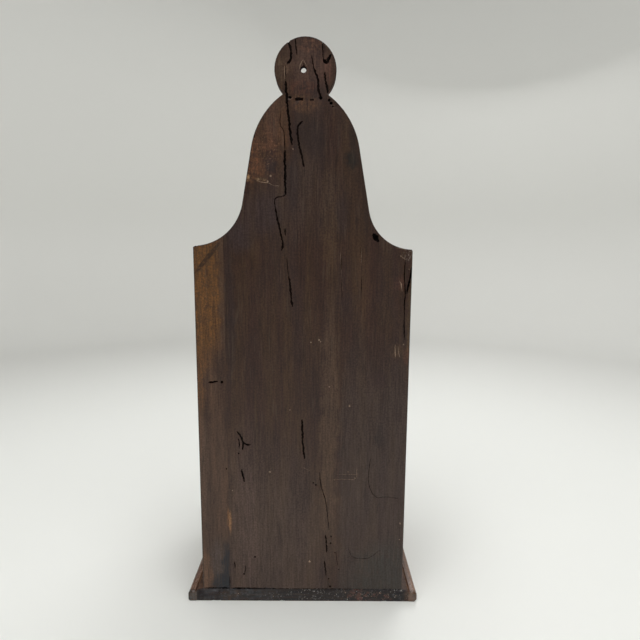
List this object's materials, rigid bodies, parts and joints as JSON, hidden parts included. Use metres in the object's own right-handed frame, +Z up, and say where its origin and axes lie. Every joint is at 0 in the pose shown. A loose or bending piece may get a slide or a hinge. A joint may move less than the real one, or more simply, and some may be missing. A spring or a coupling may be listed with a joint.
{
  "type": "wall-hanging flour box",
  "caption": "Tall wooden wall box for flour with a bell-shaped crest, a pierced round finial, a moulded base and a sloping lid hinged on brass butts.",
  "frame": {"origin": "centre of the base's underside, on the surface that the box stands on", "axes": "+Z up, the front of the box towards -Y and the wall behind +Y"},
  "size_m": [0.235, 0.1656, 0.5429],
  "materials": {
    "back_wood": "worn dark stain",
    "strip_wood": "worn brown stain",
    "box_wood": "worn dark stain",
    "base_wood": "worn dark stain",
    "lid_wood": "worn dark stain",
    "hinge_brass": "tarnished",
    "nail_iron": "dark oxidised"
  },
  "bodies": {
    "carcass": {"back_board": "back_wood", "back_strip": "strip_wood", "left_side": "box_wood", "right_side": "box_wood", "front_board": "box_wood", "hinge_rail": "lid_wood", "base_board": "base_wood", "left_base_moulding": "base_wood", "right_base_moulding": "base_wood", "front_base_moulding": "base_wood", "left_rail_leaf": "hinge_brass", "right_rail_leaf": "hinge_brass", "left_hinge_pin": "hinge_brass", "right_hinge_pin": "hinge_brass", "rail_leaf_screws": "hinge_brass", "front_nails": "nail_iron", "base_nails": "nail_iron", "rail_nails": "nail_iron", "moulding_brads": "nail_iron"},
    "lid": {"lid_board": "lid_wood", "left_lid_leaf": "hinge_brass", "right_lid_leaf": "hinge_brass", "lid_leaf_screws": "hinge_brass"}
  },
  "joints": [
    {"name": "lid_hinge", "type": "hinge", "parent": "carcass", "child": "lid", "pos_m": [0, 0.0446, 0.3427], "axis": [-1, 0, 0], "range_deg": [0, 128]}
  ]
}
